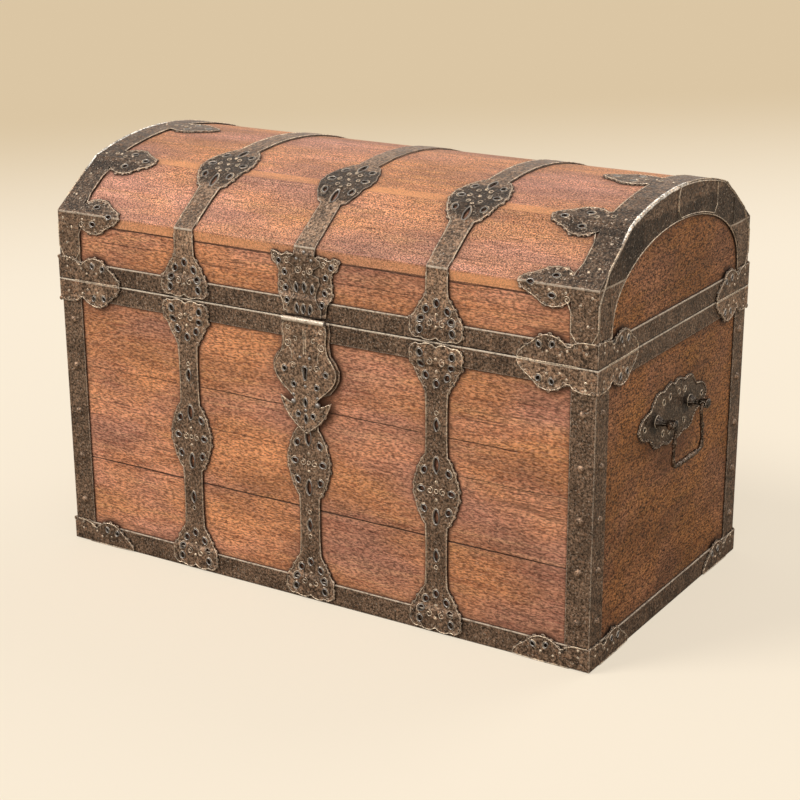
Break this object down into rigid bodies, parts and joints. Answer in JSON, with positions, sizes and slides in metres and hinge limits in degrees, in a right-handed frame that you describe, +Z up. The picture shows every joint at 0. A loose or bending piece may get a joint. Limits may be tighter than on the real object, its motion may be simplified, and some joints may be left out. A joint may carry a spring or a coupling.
{
  "type": "treasure chest",
  "caption": "Iron-bound wooden treasure chest with a sloped and crowned hinged lid, pierced straps and corner brackets, a hasp over a sliding-bolt lock, and a drop handle on each end.",
  "frame": {"origin": "middle of the chest's footprint on the floor", "axes": "+X along the front from the left end to the right end, +Y from the front to the back, +Z up"},
  "size_m": [1.121, 0.5981, 0.724],
  "materials": {
    "red_board": "old reddish-brown boards with fine grain, worn and slightly scuffed",
    "dark_board": "darker brown weathered boards",
    "pale_board": "sun-bleached reddish boards with worn pale edges",
    "inner_board": "plain unfinished board",
    "dark_iron": "forged iron, dark brown patina",
    "worn_iron": "forged iron with bare, rubbed edges",
    "bright_iron": "iron rubbed bright by use"
  },
  "bodies": {
    "base": {"base_front_board_lower": "red_board", "base_front_board_upper": "red_board", "base_back_panel": "dark_board", "base_end_panel_left": "dark_board", "base_end_panel_right": "dark_board", "base_bottom_board": "inner_board", "sill_frame": "dark_iron", "base_rim_hoop": "dark_iron", "corner_iron_front_right": "dark_iron", "corner_iron_front_left": "dark_iron", "corner_iron_back_right": "dark_iron", "corner_iron_back_left": "dark_iron", "sill_bracket_front_right": "worn_iron", "sill_bracket_front_left": "worn_iron", "sill_bracket_back_right": "worn_iron", "sill_bracket_back_left": "worn_iron", "base_rim_bracket_front_right": "worn_iron", "base_rim_bracket_front_left": "worn_iron", "base_rim_bracket_back_right": "worn_iron", "base_rim_bracket_back_left": "worn_iron", "base_strap_left": "worn_iron", "base_strap_middle": "worn_iron", "base_strap_right": "worn_iron", "lock_plate": "dark_iron", "lock_case": "dark_iron", "handle_plate_left": "worn_iron", "handle_plate_right": "worn_iron", "hinge_leaf_left": "dark_iron", "hinge_leaf_middle": "dark_iron", "hinge_leaf_right": "dark_iron", "hinge_pin_left": "bright_iron", "hinge_pin_middle": "bright_iron", "hinge_pin_right": "bright_iron"},
    "lid": {"lid_front_rail": "red_board", "lid_back_rail": "dark_board", "lid_slope_board_front_lower": "pale_board", "lid_slope_board_front_upper": "pale_board", "lid_crown_board_front": "pale_board", "lid_crown_board_back": "pale_board", "lid_slope_board_back": "pale_board", "lid_end_board_left": "dark_board", "lid_end_board_right": "dark_board", "lid_rim_hoop": "dark_iron", "lid_rim_bracket_front_right": "worn_iron", "lid_rim_bracket_front_left": "worn_iron", "lid_rim_bracket_back_right": "worn_iron", "lid_rim_bracket_back_left": "worn_iron", "lid_strap_left": "worn_iron", "lid_strap_middle": "worn_iron", "lid_strap_right": "worn_iron", "lid_end_iron_left": "worn_iron", "lid_end_iron_right": "worn_iron", "lid_escutcheon": "dark_iron", "hasp_pin": "bright_iron", "lid_staple": "dark_iron"},
    "hasp": {"hasp": "worn_iron"},
    "bolt": {"lock_bolt": "bright_iron"},
    "bail_left": {"handle_bail_left": "worn_iron"},
    "bail_right": {"handle_bail_right": "worn_iron"}
  },
  "joints": [
    {"name": "lid_hinge", "type": "hinge", "parent": "base", "child": "lid", "pos_m": [0, 0.2933, 0.496], "axis": [-1, 0, 0], "range_deg": [0, 100]},
    {"name": "hasp_hinge", "type": "hinge", "parent": "lid", "child": "hasp", "pos_m": [0, -0.29465, 0.496], "axis": [-1, 0, 0], "range_deg": [0, 170]},
    {"name": "bolt_slide", "type": "slide", "parent": "base", "child": "bolt", "axis": [-1, 0, 0], "range_m": [0, 0.018]},
    {"name": "bail_left_swing", "type": "hinge", "parent": "base", "child": "bail_left", "pos_m": [-0.552, 0, 0.349], "axis": [0, 1, 0], "range_deg": [0, 165]},
    {"name": "bail_right_swing", "type": "hinge", "parent": "base", "child": "bail_right", "pos_m": [0.552, 0, 0.349], "axis": [0, -1, 0], "range_deg": [0, 165]}
  ]
}
